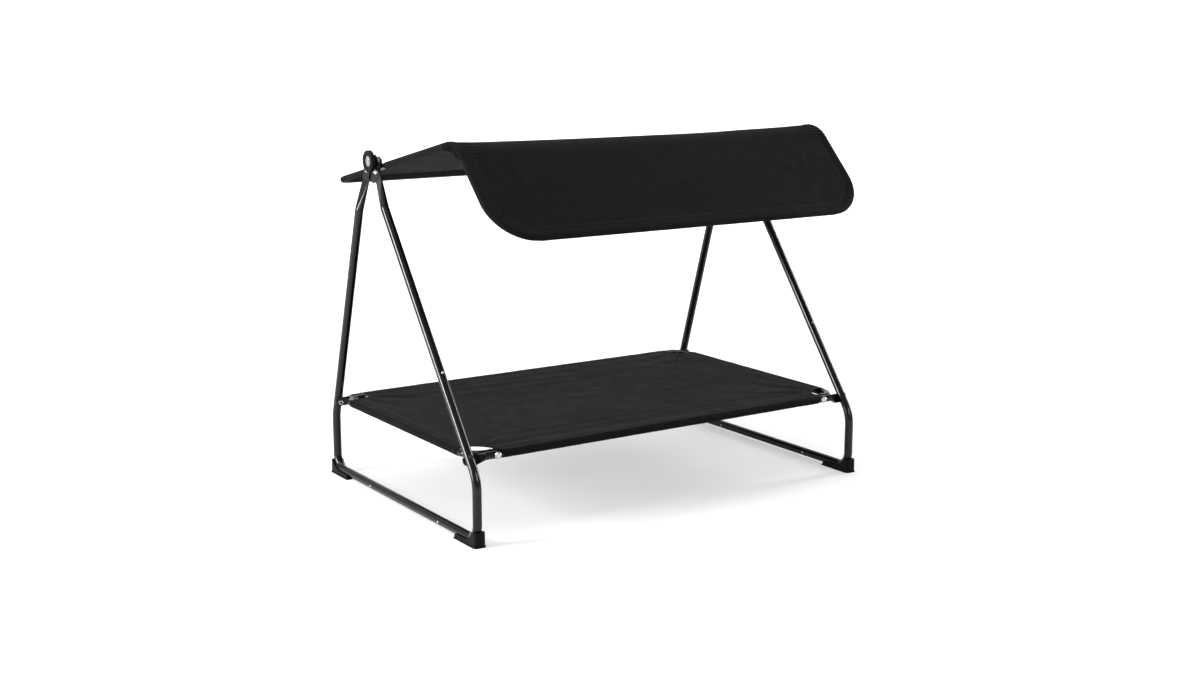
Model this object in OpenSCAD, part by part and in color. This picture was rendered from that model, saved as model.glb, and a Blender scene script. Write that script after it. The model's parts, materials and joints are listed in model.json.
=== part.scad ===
// Raised dog bed slung between two end frames, with a tilting sun canopy.
// X runs along the bed, -Y is the front, +Z is up. Millimetres.

/* [Stand] */
// Distance between the two end frames, tube centre to tube centre
frame_len = 1000; // [900:10:1100]
// Depth of an end frame, vertical leg to vertical leg
frame_depth = 664; // [640:2:700]
// Height of the bolts that join the legs to the apex brackets
apex_z = 724; // [700:2:760]
// Lean of the front legs, in degrees
front_lean = 36.8762; // [36.5:0.0001:37]
// Lean of the rear legs, in degrees
rear_lean = 17.3832; // [17:0.0001:17.5]
// Height at which the vertical legs start to lean
knee_z = 140; // [135:1:150]
// Diameter of the leg and base tubes
leg_d = 19; // [19:0.5:20]
// Bend radius of the base corners
corner_r = 32; // [30:1:36]
// Bend radius of the knees
knee_r = 80; // [60:5:100]
// Length of the middle leg tubes between their seams
middle_len = 250; // [240:5:260]

/* [Bed] */
// Diameter of the bed tubes
bed_d = 16; // [15:0.5:16.5]
// Height of the bed tube centres
bed_z = 177.4; // [174:0.2:182]
// Distance from the middle to each end tube of the sling
bed_half_len = 490; // [486:1:492]
// Bend radius of the sling's end tubes
bed_corner_r = 40; // [36:1:44]
// Distance from the middle to the bolts through the rails
corner_bolt_x = 438; // [430:1:442]
// Radius of the round cut-outs at the fabric's corners
fabric_cut_r = 48; // [44:1:50]

/* [Canopy] */
// Diameter of the canopy tubes
canopy_d = 13; // [12:0.5:14]
// Distance from the middle to each side tube of the canopy
canopy_half_len = 472.7; // [468:0.5:474]
// Slope of the rear panel, in degrees
rear_slope = 12.44; // [11:0.2:14]
// Slope of the front panel, in degrees
front_slope = 45.5919; // [40:0.0001:50]
// Length of the front panel from the ridge to the front tube
front_panel_len = 249; // [240:1:260]
// Length of the rear panel from the ridge to the rear tube
rear_panel_len = 564; // [550:1:570]
// Bend radius at the ridge
ridge_r = 68; // [40:1:75]
// Bend radius of the two front corners
front_corner_r = 95; // [80:1:105]
// Bend radius of the two rear corners
rear_corner_r = 25; // [22:1:35]
// Radius of the tilt knobs
knob_r = 23.8; // [22:0.1:25]

/* [Hidden] */

$fn = 64;
HULL_FN = 32;
LEFT = -1;
RIGHT = 1;

// Colours
paint = [0.03, 0.03, 0.035];
zinc = [0.80, 0.81, 0.83];
plastic = [0.10, 0.10, 0.105];
cloth = [0.13, 0.13, 0.14];
spring_steel = [0.55, 0.56, 0.58];

// Tube walls: the outer radius, the bore, and the reduced end that slides into the next tube
leg_r = leg_d / 2;
leg_wall = 1.2;
leg_bore = leg_r - leg_wall;
fit_gap = 0.2;
spigot_r = leg_bore - fit_gap;
spigot_bore = spigot_r - leg_wall;
spigot_len = 45;
neck_len = 4;
swell = 0.02;
bed_r = bed_d / 2;
bed_wall = 1.2;
canopy_r = canopy_d / 2;
canopy_wall = 1;

// Stand
half_len = frame_len / 2;
half_depth = frame_depth / 2;
base_z = 13.1;
apex_front_y = (apex_z - knee_z) * tan(front_lean) - half_depth;
apex_rear_y = half_depth - (apex_z - knee_z) * tan(rear_lean);
front_knee_cut = knee_r * tan(front_lean / 2);
rear_knee_cut = knee_r * tan(rear_lean / 2);
front_bolt_s = (apex_z - knee_z) / cos(front_lean);
rear_bolt_s = (apex_z - knee_z) / cos(rear_lean);
front_seam_s = 258;
rear_seam_s = 156;
front_seam2_s = front_seam_s + middle_len;
rear_seam2_s = rear_seam_s + middle_len;
base_front_y = -160;
base_rear_y = 120;

// Flattened leg ends, on the inner side of the tube
flat_t = 2.6;
flat_w = 28;
flat_in = leg_r - flat_t;
flat_start = 92;
flat_end = 24;

// Snap buttons
button_r = 3;
button_hole_r = 3.08;
button_from_seam = 20;
button_tip = 2.6;
leaf_w = 6;
leaf_t = 0.8;
leaf_len = 22;
leaf_r = 5.1;
bend_gap = 0.3;

// Feet
foot_half_w = 13.4;
foot_out = 12.5;
foot_in = 76;
foot_top = 31;
foot_wall_top = 10.5;
foot_gap = 0.2;
lip_h = 2;
lip_out = 1.3;

// Apex: the bracket lies flat against the inner side of the flattened legs
bracket_t = 3;
bracket_x = half_len - leg_r - bracket_t;
pivot = [117, 746];
pivot_lobe_r = 14;
waist_cut = 0.5;
bolt_lobe_r = 15;
low_lobe = [126, 713];
low_lobe_r = 15.5;
m6_r = 3;
m6_hole_r = 3.1;
m6_run_r = 3.08;
m6_nut_r = 5.77;
m6_nut_h = 5;
dome_r = 6;
dome_h = 4;

// Bed: the two long rails run leg to leg, and the sling's end tubes lie beside them
front_rail_y = -half_depth + (bed_z - knee_z) * tan(front_lean);
rear_rail_y = half_depth - (bed_z - knee_z) * tan(rear_lean);
tube_gap = 0.4;
front_end_y = front_rail_y + bed_d + tube_gap;
rear_end_y = rear_rail_y - bed_d - tube_gap;
end_tube_reach = 110;
rail_spigot = 40;
tab_t = 2.6;
tab_w = 22;
tab_gap = 0.2;
sleeve_in = 8.3;
sleeve_out = 9.6;
sheet_low = 8.0;
sheet_high = 9.3;
front_sleeve_half = 425;
end_sleeve_front = front_rail_y + 59;
end_sleeve_rear = rear_rail_y - 59;
cut_in = 14;
head_r = 7.5;
head_h = 6;

// Canopy: the ridge point where the two panels' tube lines would cross
ridge = [-218, 806.5];
ridge_turn = rear_slope + front_slope;
ridge_cut = ridge_r * tan(ridge_turn / 2);
split_s = 264;
// How far two pieces of cloth overlap
lap = 0.5;
cross_joint_x = 150;
canopy_spigot_r = canopy_r - canopy_wall - 0.2;
canopy_spigot_bore = canopy_spigot_r - 0.8;
canopy_spigot_len = 32;
pocket_in = canopy_r + 0.3;
pocket_out = canopy_r + 1.5;
skin_low = pocket_in + 0.05;
skin_high = pocket_out - 0.15;
ear_t = 3;
ear_x = canopy_half_len + canopy_r - 2;
ear_r = 9;
pivot_s = (pivot[0] - ridge[0]) * cos(rear_slope) - (pivot[1] - ridge[1]) * sin(rear_slope);
pivot_h = (pivot[0] - ridge[0]) * sin(rear_slope) + (pivot[1] - ridge[1]) * cos(rear_slope);
run_gap = 0.2;

// Tilt knobs
knob_t = 8;
knob_hub_r = 6.5;
knob_clear = 5.4;
knob_x = half_len - leg_r + flat_t + knob_clear;
recess_r = 12.5;
recess_d = 3;
insert_r = 11.5;
insert_t = 1.6;
grips = 16;
grip_r = 2.4;

// Moves the whole model so that the origin is under the middle of its outline
front_tube_y = ridge[0] - front_panel_len * cos(front_slope);
centre_shift = -((front_tube_y - pocket_out) + (half_depth + foot_out + lip_out)) / 2;

// ---------- helpers ----------

module at_origin() { translate([0, centre_shift, 0]) children(); }

// Left parts are drawn in place, right parts are their mirror image
module on_side(side) { if (side == LEFT) children(); else mirror([1, 0, 0]) children(); }

// A round bar, or a tube if it has a bore, along a path that starts at the origin and heads along +Z.
// Steps: ["line", length], ["arc", radius, degrees] towards local +X, ["roll", degrees].
module path_bar(steps, r, bore = 0, i = 0) {
    if (i < len(steps)) {
        s = steps[i];
        if (s[0] == "line") straight(s[1], r, bore);
        if (s[0] == "arc") bend(s[1], s[2], r, bore);
        after_step(s) path_bar(steps, r, bore, i + 1);
    }
}
module straight(length, r, bore) {
    difference() {
        cylinder(h = length, r = r);
        if (bore > 0) translate([0, 0, -1]) cylinder(h = length + 2, r = bore);
    }
}
// The wall of a bend is a little thinner than the straights it joins
module bend(bend_r, degrees, r, bore) {
    spare = 4;
    difference() {
        translate([bend_r, 0, 0]) mirror([1, 0, 0]) rotate([90, 0, 0])
            rotate_extrude(angle = degrees + spare) translate([bend_r, 0]) difference() {
                circle(r = r - swell);
                if (bore > 0) circle(r = bore + swell);
            }
        after_step(["arc", bend_r, degrees]) translate([-2 * r, -2 * r, 0])
            cube([4 * r, 4 * r, bend_r * spare / 40]);
    }
}
// Children at the end of one step, with local +Z along the new heading
module after_step(s) {
    if (s[0] == "line") translate([0, 0, s[1]]) children();
    if (s[0] == "arc") translate([s[1], 0, 0]) rotate([0, s[2], 0]) translate([-s[1], 0, 0]) children();
    if (s[0] == "roll") rotate([0, 0, s[1]]) children();
}
module at_end(steps, i = 0) {
    if (i == len(steps)) children();
    else after_step(steps[i]) at_end(steps, i + 1) children();
}

// A hollow tube along a path. The plugs are the lengths of the reduced spigots at its ends, or 0.
module tube(steps, r, bore, small_r, small_bore, start_plug = 0, end_plug = 0) {
    path_bar(steps, r, bore);
    if (start_plug > 0) spigot(start_plug, (r + bore) / 2, small_r, small_bore);
    if (end_plug > 0) at_end(steps) rotate([180, 0, 0]) spigot(end_plug, (r + bore) / 2, small_r, small_bore);
}
// A reduced end that sticks out below z = 0, with the neck that joins it to the tube above
module spigot(plug, neck_r, small_r, small_bore) {
    difference() {
        union() {
            cylinder(h = neck_len, r = neck_r);
            translate([0, 0, -plug]) cylinder(h = plug + neck_len, r = small_r);
        }
        translate([0, 0, -plug - 1]) cylinder(h = plug + neck_len + 2, r = small_bore);
    }
}

// Frames of reference along the leaning legs: local +Z runs up the leg
module on_front_leg(s) {
    translate([-half_len, -half_depth, knee_z]) rotate([-front_lean, 0, 0]) translate([0, 0, s]) children();
}
module on_rear_leg(s) {
    translate([-half_len, half_depth, knee_z]) rotate([rear_lean, 0, 0]) translate([0, 0, s]) children();
}
// Along the base tube: local +Z points to the front or to the rear
module on_base_front(y) { translate([-half_len, y, base_z]) rotate([90, 0, 0]) children(); }
module on_base_rear(y) { translate([-half_len, y, base_z]) rotate([-90, 0, 0]) children(); }
// Along the panels of the canopy: local Y runs away from the ridge line at the rear,
// and towards it at the front, and local Z points out of the fabric
module on_rear_panel() { translate([0, ridge[0], ridge[1]]) rotate([-rear_slope, 0, 0]) children(); }
module on_front_panel() { translate([0, ridge[0], ridge[1]]) rotate([front_slope, 0, 0]) children(); }

// The six slip joints of an end frame. Local +Z points into the outer tube from its seam,
// and local +X points out of the hole for the snap button.
BASE_FRONT = 0;
BASE_REAR = 1;
FRONT_LOW = 2;
FRONT_HIGH = 3;
REAR_LOW = 4;
REAR_HIGH = 5;
module at_joint(joint, side) {
    across = side == LEFT ? 180 : 0;
    on_side(side) {
        if (joint == BASE_FRONT) on_base_front(base_front_y) rotate([0, 0, across]) children();
        if (joint == BASE_REAR) on_base_rear(base_rear_y) rotate([0, 0, across]) children();
        if (joint == FRONT_LOW) on_front_leg(front_seam_s) rotate([180, 0, -90]) children();
        if (joint == FRONT_HIGH) on_front_leg(front_seam2_s) rotate([180, 0, 90]) children();
        if (joint == REAR_LOW) on_rear_leg(rear_seam_s) rotate([180, 0, 90]) children();
        if (joint == REAR_HIGH) on_rear_leg(rear_seam2_s) rotate([180, 0, 180]) children();
    }
}
module button_hole(joint, side) {
    at_joint(joint, side) translate([spigot_bore - 2, 0, button_from_seam]) rotate([0, 90, 0])
        cylinder(h = leg_wall * 2 + 4, r = button_hole_r);
}

module leg_tube(steps, start_plug = 0, end_plug = 0) {
    tube(steps, leg_r, leg_bore, spigot_r, spigot_bore, start_plug, end_plug);
}
module bed_tube(steps, start_plug = 0, end_plug = 0) {
    tube(steps, bed_r, bed_r - bed_wall, bed_r - bed_wall - fit_gap, bed_r - 2 * bed_wall - fit_gap,
         start_plug, end_plug);
}
module canopy_tube(steps, start_plug = 0, end_plug = 0) {
    tube(steps, canopy_r, canopy_r - canopy_wall, canopy_spigot_r, canopy_spigot_bore,
         start_plug, end_plug);
}

// A low round screw head that sits on z = 0
module dome(r, h) {
    ball = (r * r + h * h) / (2 * h);
    intersection() {
        translate([0, 0, h - ball]) sphere(r = ball);
        cylinder(h = h, r = r);
    }
}
module hex_nut(h) {
    difference() {
        cylinder(h = h, r = m6_nut_r, $fn = 6);
        translate([0, 0, -1]) cylinder(h = h + 2, r = m6_r + 0.05);
    }
}

// ---------- end frames ----------

module base_tube(side) {
    color(paint) at_origin() difference() {
        on_side(side) on_base_rear(base_front_y)
            leg_tube([["line", base_rear_y - base_front_y]], spigot_len, spigot_len);
        button_hole(BASE_FRONT, side);
        button_hole(BASE_REAR, side);
    }
}

function lower_steps(joint_y, lean, knee_cut, seam_s) = [
    ["line", half_depth - corner_r - abs(joint_y)],
    ["arc", corner_r, 90],
    ["line", knee_z - knee_cut - base_z - corner_r],
    ["arc", knee_r, lean],
    ["line", seam_s - knee_cut]
];
front_lower_steps = lower_steps(base_front_y, front_lean, front_knee_cut, front_seam_s);
rear_lower_steps = lower_steps(base_rear_y, rear_lean, rear_knee_cut, rear_seam_s);

// Puts a path on the base at the distance y from the middle, heading outwards and then bending up
module from_base(y) { translate([-half_len, -abs(y), base_z]) rotate([90, 0, 0]) rotate([0, 0, 90]) children(); }

module lower_leg_front(side) {
    color(paint) at_origin() difference() {
        on_side(side) from_base(base_front_y) leg_tube(front_lower_steps);
        button_hole(BASE_FRONT, side);
        button_hole(FRONT_LOW, side);
        on_side(side) at_front_rail() screw_hole();
    }
}
module lower_leg_rear(side) {
    color(paint) at_origin() difference() {
        on_side(side) mirror([0, 1, 0]) from_base(base_rear_y) leg_tube(rear_lower_steps);
        button_hole(BASE_REAR, side);
        button_hole(REAR_LOW, side);
        on_side(side) at_rear_rail() screw_hole();
    }
}
module middle_leg_front(side) {
    color(paint) at_origin() difference() {
        on_side(side) on_front_leg(front_seam_s) leg_tube([["line", middle_len]], spigot_len);
        button_hole(FRONT_LOW, side);
        button_hole(FRONT_HIGH, side);
    }
}
module middle_leg_rear(side) {
    color(paint) at_origin() difference() {
        on_side(side) on_rear_leg(rear_seam_s) leg_tube([["line", middle_len]], spigot_len);
        button_hole(REAR_LOW, side);
        button_hole(REAR_HIGH, side);
    }
}

// The top of a leg: the tube is pressed flat against its inner side and drilled. z = 0 is the bolt.
module flat_top() {
    difference() {
        union() {
            hull() {
                translate([0, 0, -flat_start]) cylinder(h = 0.5, r = leg_r, $fn = HULL_FN);
                translate([flat_in, -flat_w / 2, -flat_end]) cube([flat_t, flat_w, 0.5]);
            }
            translate([flat_in, -flat_w / 2, -flat_end]) cube([flat_t, flat_w, flat_end]);
            translate([flat_in, 0, 0]) rotate([0, 90, 0]) cylinder(h = flat_t, r = flat_w / 2);
        }
        translate([flat_in - 1, 0, 0]) rotate([0, 90, 0]) cylinder(h = flat_t + 2, r = m6_hole_r);
    }
}
module upper_leg_front(side) {
    color(paint) at_origin() difference() {
        on_side(side) {
            on_front_leg(front_seam2_s)
                leg_tube([["line", front_bolt_s - front_seam2_s - flat_start]], spigot_len);
            on_front_leg(front_bolt_s) flat_top();
        }
        button_hole(FRONT_HIGH, side);
    }
}
module upper_leg_rear(side) {
    color(paint) at_origin() difference() {
        on_side(side) {
            on_rear_leg(rear_seam2_s)
                leg_tube([["line", rear_bolt_s - rear_seam2_s - flat_start]], spigot_len);
            on_rear_leg(rear_bolt_s) flat_top();
        }
        button_hole(REAR_HIGH, side);
    }
}

// A foot: a shoe under the base corner with a low channel for the base tube.
// Local Y runs inwards from the vertical leg.
module foot_plan(grow) {
    round_r = 8;
    half_w = foot_half_w + grow;
    out = foot_out + grow;
    translate([-half_w, -out + round_r]) square([2 * half_w, foot_in + out - round_r + grow / 2]);
    translate([-half_w + round_r, -out]) square([2 * (half_w - round_r), round_r + 1]);
    for (end = [-1, 1]) translate([end * (half_w - round_r), -out + round_r]) circle(r = round_r);
}
module foot_shape() {
    web_r = corner_r + 2;
    inner_slant = 3;
    profile = [
        [-foot_out, 0], [-foot_out, foot_top], [corner_r, foot_top],
        [corner_r, foot_wall_top + 0.4], [foot_in - inner_slant, foot_wall_top - 0.5], [foot_in, 0]
    ];
    difference() {
        union() {
            intersection() {
                translate([-foot_half_w, 0, 0]) rotate([90, 0, 90]) linear_extrude(2 * foot_half_w)
                    polygon(profile);
                linear_extrude(foot_top + 1) foot_plan(0);
            }
            linear_extrude(lip_h) foot_plan(lip_out);
        }
        translate([-foot_half_w - 1, corner_r, base_z + corner_r]) rotate([0, 90, 0])
            cylinder(h = 2 * foot_half_w + 2, r = web_r, $fn = 180);
        translate([0, foot_in + 20, base_z]) rotate([90, 0, 0]) rotate([0, 0, 90])
            path_bar([["line", foot_in + 20 - corner_r], ["arc", corner_r, 90], ["line", 20]],
                     leg_r + foot_gap);
    }
}
module foot(side, end) {
    color(plastic) at_origin() on_side(side) {
        if (end == "front") translate([-half_len, -half_depth, 0]) foot_shape();
        else mirror([0, 1, 0]) translate([-half_len, -half_depth, 0]) foot_shape();
    }
}

// ---------- apex ----------

leg_bolts = [[apex_front_y, apex_z], [apex_rear_y, apex_z]];

// Children in a frame with local Z pointing out of the side of the stand, at a point [y, z]
module side_face(point, x) {
    translate([-x, point[0], point[1]]) rotate([0, -90, 0]) children();
}
module capsule_plate(a, b, r) {
    run = norm(b - a);
    translate(a) circle(r = r);
    translate(b) circle(r = r);
    translate(a) rotate([0, 0, atan2(b[1] - a[1], b[0] - a[0])])
        translate([0, waist_cut - r]) square([run, 2 * (r - waist_cut)]);
}
module apex_bracket(side) {
    color(paint) at_origin() on_side(side) translate([-bracket_x, 0, 0]) difference() {
        rotate([90, 0, 90]) translate([0, 0, -bracket_t]) linear_extrude(bracket_t) {
            capsule_plate(pivot, leg_bolts[0], pivot_lobe_r);
            capsule_plate(pivot, leg_bolts[1], pivot_lobe_r);
            capsule_plate(leg_bolts[0], leg_bolts[1], bolt_lobe_r);
            polygon([pivot, leg_bolts[0], leg_bolts[1]]);
            translate(low_lobe) circle(r = low_lobe_r);
        }
        for (p = leg_bolts) translate([-bracket_t - 1, p[0], p[1]]) rotate([0, 90, 0])
            cylinder(h = bracket_t + 2, r = m6_hole_r);
        translate([-bracket_t - 1, pivot[0], pivot[1]]) rotate([0, 90, 0])
            cylinder(h = bracket_t + 2, r = m6_run_r);
    }
}
flat_face_x = bracket_x + bracket_t + flat_t;
apex_shank = flat_t + bracket_t + m6_nut_h + 0.5;
module apex_bolts() {
    color(zinc) at_origin() for (side = [LEFT, RIGHT], p = leg_bolts) on_side(side)
        side_face(p, flat_face_x) {
            dome(dome_r, dome_h);
            translate([0, 0, -apex_shank]) cylinder(h = apex_shank + 1, r = m6_r);
        }
}
module apex_nuts() {
    color(zinc) at_origin() for (side = [LEFT, RIGHT], p = leg_bolts) on_side(side)
        side_face(p, bracket_x) translate([0, 0, -m6_nut_h]) hex_nut(m6_nut_h);
}

// ---------- bed ----------

// Where a long rail meets its leg: local X runs inwards along the rail, local -Y out of the stand
module at_front_rail() { on_front_leg((bed_z - knee_z) / cos(front_lean)) children(); }
module at_rear_rail() { on_rear_leg((bed_z - knee_z) / cos(rear_lean)) mirror([0, 1, 0]) children(); }

tab_y = leg_r + tab_gap;
tab_flat_x = 18;
rail_start_x = 36;
screw_r = 5;
screw_h = 3;
screw_shank = 2 * leg_r + tab_gap + tab_t + m6_nut_h + 0.5;
module screw_hole() {
    translate([0, leg_r + tab_t + 2, 0]) rotate([90, 0, 0]) cylinder(h = 2 * leg_r + tab_t + 4, r = m6_hole_r);
}
// The flattened end of a rail, which lies behind the leg
module rail_tab() {
    difference() {
        union() {
            hull() {
                translate([rail_start_x - 0.5, 0, 0]) rotate([0, 90, 0]) cylinder(h = 0.5, r = bed_r, $fn = HULL_FN);
                translate([tab_flat_x, tab_y, -tab_w / 2]) cube([0.5, tab_t, tab_w]);
            }
            translate([0, tab_y, -tab_w / 2]) cube([tab_flat_x + 0.5, tab_t, tab_w]);
            translate([0, tab_y + tab_t, 0]) rotate([90, 0, 0]) cylinder(h = tab_t, r = tab_w / 2);
        }
        screw_hole();
    }
}
module corner_bolt_hole(y) {
    translate([-corner_bolt_x, y + bed_d, bed_z]) rotate([90, 0, 0]) cylinder(h = 2 * bed_d, r = m6_hole_r);
}
module bed_rail(side, end) {
    y = end == "front" ? front_rail_y : rear_rail_y;
    plug = side == LEFT ? rail_spigot : 0;
    color(paint) at_origin() on_side(side) difference() {
        union() {
            if (end == "front") at_front_rail() rail_tab();
            else at_rear_rail() rail_tab();
            translate([-half_len + rail_start_x - 1, y, bed_z]) rotate([0, 90, 0])
                bed_tube([["line", half_len - rail_start_x + 1]], 0, plug);
        }
        corner_bolt_hole(y);
    }
}
end_tube_steps = [
    ["line", end_tube_reach - bed_corner_r],
    ["arc", bed_corner_r, 90],
    ["line", rear_end_y - front_end_y - 2 * bed_corner_r],
    ["arc", bed_corner_r, 90],
    ["line", end_tube_reach - bed_corner_r]
];
module on_end_tube() {
    translate([-bed_half_len + end_tube_reach, front_end_y, bed_z]) rotate([0, -90, 0]) rotate([0, 0, 90])
        children();
}
module bed_end_tube(side) {
    color(paint) at_origin() on_side(side) difference() {
        on_end_tube() bed_tube(end_tube_steps);
        corner_bolt_hole(front_end_y);
        corner_bolt_hole(rear_end_y);
    }
}
module rail_screws() {
    color(paint) at_origin() for (side = [LEFT, RIGHT]) on_side(side) {
        at_front_rail() rail_screw();
        at_rear_rail() rail_screw();
    }
}
module rail_screw() {
    translate([0, -leg_r, 0]) rotate([90, 0, 0]) {
        dome(screw_r, screw_h);
        translate([0, 0, -screw_shank]) cylinder(h = screw_shank + 1, r = m6_r);
    }
}
module rail_nuts() {
    color(zinc) at_origin() for (side = [LEFT, RIGHT]) on_side(side) {
        at_front_rail() rail_nut();
        at_rear_rail() rail_nut();
    }
}
module rail_nut() {
    translate([0, tab_y + tab_t + m6_nut_h, 0]) rotate([90, 0, 0]) hex_nut(m6_nut_h);
}
corner_shank = 2 * bed_d + tube_gap + m6_nut_h + 1;
// Children on the outer face of a long rail at a corner bolt, with local Z pointing out
module at_corner_bolts() {
    for (side = [LEFT, RIGHT]) on_side(side) {
        translate([-corner_bolt_x, front_rail_y - bed_r, bed_z]) rotate([90, 0, 0]) children();
        translate([-corner_bolt_x, rear_rail_y + bed_r, bed_z]) rotate([-90, 0, 0]) children();
    }
}
module corner_bolts() {
    color(zinc) at_origin() at_corner_bolts() {
        dome(head_r, head_h);
        translate([0, 0, -corner_shank]) cylinder(h = corner_shank + 1, r = m6_r);
    }
}
module corner_nuts() {
    color(zinc) at_origin() at_corner_bolts()
        translate([0, 0, -2 * bed_d - tube_gap - m6_nut_h]) hex_nut(m6_nut_h);
}

// The sling: a sheet with a pocket along each side, and a round cut-out at each corner
module long_pocket(r, half, y_a, y_b) {
    translate([-half, 0, bed_z]) rotate([90, 0, 90]) linear_extrude(2 * half) {
        translate([y_a, 0]) circle(r = r);
        translate([y_b, 0]) circle(r = r);
        translate([y_a, -r]) square([y_b - y_a, 2 * r]);
    }
}
module bed_fabric() {
    color(cloth) at_origin() difference() {
        union() {
            translate([-bed_half_len, front_rail_y, bed_z + sheet_low])
                cube([2 * bed_half_len, rear_rail_y - front_rail_y, sheet_high - sheet_low]);
            long_pocket(sleeve_out, front_sleeve_half, front_rail_y, front_end_y);
            long_pocket(sleeve_out, front_sleeve_half, rear_end_y, rear_rail_y);
            for (side = [LEFT, RIGHT]) on_side(side)
                translate([-bed_half_len, end_sleeve_rear, bed_z]) rotate([90, 0, 0])
                    cylinder(h = end_sleeve_rear - end_sleeve_front, r = sleeve_out);
        }
        long_pocket(sleeve_in, half_len, front_rail_y, front_end_y);
        long_pocket(sleeve_in, half_len, rear_end_y, rear_rail_y);
        for (side = [LEFT, RIGHT]) on_side(side) {
            on_end_tube() path_bar(end_tube_steps, sleeve_in);
            for (y = [front_rail_y + cut_in, rear_rail_y - cut_in])
                translate([-bed_half_len + cut_in - 4, y, bed_z - 20]) cylinder(h = 40, r = fabric_cut_r);
        }
    }
}

// ---------- canopy ----------

canopy_front_steps = [
    ["line", split_s - ridge_cut],
    ["arc", ridge_r, ridge_turn],
    ["line", front_panel_len - ridge_cut - front_corner_r],
    ["roll", 90],
    ["arc", front_corner_r, 90],
    ["line", canopy_half_len - front_corner_r - cross_joint_x]
];
canopy_rear_steps = [
    ["line", rear_panel_len - split_s - rear_corner_r],
    ["arc", rear_corner_r, 90],
    ["line", canopy_half_len - rear_corner_r - cross_joint_x]
];
cross_steps = [["line", 2 * cross_joint_x]];
module on_canopy_front() {
    on_rear_panel() translate([-canopy_half_len, split_s, 0]) rotate([90, 0, 0]) rotate([0, 0, -90])
        children();
}
module on_canopy_rear() {
    on_rear_panel() translate([-canopy_half_len, split_s, 0]) rotate([-90, 0, 0]) children();
}
module on_front_bar() {
    on_front_panel() translate([-cross_joint_x, -front_panel_len, 0]) rotate([0, 90, 0]) children();
}
module on_rear_bar() {
    on_rear_panel() translate([-cross_joint_x, rear_panel_len, 0]) rotate([0, 90, 0]) children();
}
module canopy_tube_front(side) {
    color(paint) at_origin() on_side(side) on_canopy_front() canopy_tube(canopy_front_steps);
}
// The rear side tube carries a welded ear for the pivot bolt
module canopy_tube_rear(side) {
    root_half = 15;
    color(paint) at_origin() on_side(side) difference() {
        union() {
            on_canopy_rear() canopy_tube(canopy_rear_steps, canopy_spigot_len);
            on_rear_panel() translate([-ear_x - ear_t, pivot_s, 0]) rotate([90, 0, 90]) linear_extrude(ear_t) {
                translate([0, pivot_h]) circle(r = ear_r);
                polygon([[-root_half, 0], [root_half, 0], [ear_r, pivot_h], [-ear_r, pivot_h]]);
            }
        }
        on_rear_panel() translate([-ear_x - ear_t - 1, pivot_s, pivot_h]) rotate([0, 90, 0])
            cylinder(h = ear_t + 2, r = m6_hole_r);
    }
}
module canopy_front_bar() {
    color(paint) at_origin() on_front_bar() canopy_tube(cross_steps, canopy_spigot_len, canopy_spigot_len);
}
module canopy_rear_bar() {
    color(paint) at_origin() on_rear_bar() canopy_tube(cross_steps, canopy_spigot_len, canopy_spigot_len);
}
// The pocket that runs all round the canopy, over its tubes
module canopy_pocket() {
    for (side = [LEFT, RIGHT]) on_side(side) {
        on_canopy_front() path_bar(canopy_front_steps, pocket_out, pocket_in);
        on_canopy_rear() path_bar(canopy_rear_steps, pocket_out, pocket_in);
    }
    on_front_bar() cross_pocket();
    on_rear_bar() cross_pocket();
}
module cross_pocket() {
    translate([0, 0, -lap])
        straight(2 * (cross_joint_x + lap), pocket_out + swell, pocket_in - swell);
}
// A panel from y = 0 to y = len with its two far corners rounded
module panel_outline(near, far, r) {
    w = canopy_half_len;
    translate([-w, near]) square([2 * w, far - r - near]);
    translate([-w + r, near]) square([2 * (w - r), far - near]);
    for (end = [-1, 1]) translate([end * (w - r), far - r]) circle(r = r, $fn = 180);
}
module canopy_skin() {
    skin_t = skin_high - skin_low;
    near = ridge_cut - lap;
    on_rear_panel() translate([0, 0, skin_low]) linear_extrude(skin_t)
        panel_outline(near, rear_panel_len, rear_corner_r);
    on_front_panel() translate([0, 0, skin_low]) linear_extrude(skin_t) mirror([0, 1])
        panel_outline(near, front_panel_len, front_corner_r);
    on_rear_panel() translate([-canopy_half_len, ridge_cut, -ridge_r]) rotate([90, 0, 90])
        linear_extrude(2 * canopy_half_len) ridge_ring();
}
module ridge_ring() {
    reach = 2 * ridge_r;
    intersection() {
        difference() {
            circle(r = ridge_r + skin_high - swell);
            circle(r = ridge_r + skin_low + swell);
        }
        polygon([[0, 0], [0, reach], [-reach, reach], [-reach, reach / tan(ridge_turn)]]);
    }
}
module canopy_fabric() {
    notch = [24, 44, 40];
    color(cloth) at_origin() difference() {
        union() {
            canopy_skin();
            canopy_pocket();
        }
        for (side = [LEFT, RIGHT]) on_side(side) on_rear_panel()
            translate([-canopy_half_len + 10 - notch[0], pivot_s - notch[1] / 2, -notch[2] / 2]) cube(notch);
    }
}

// ---------- tilt pivots ----------

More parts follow.
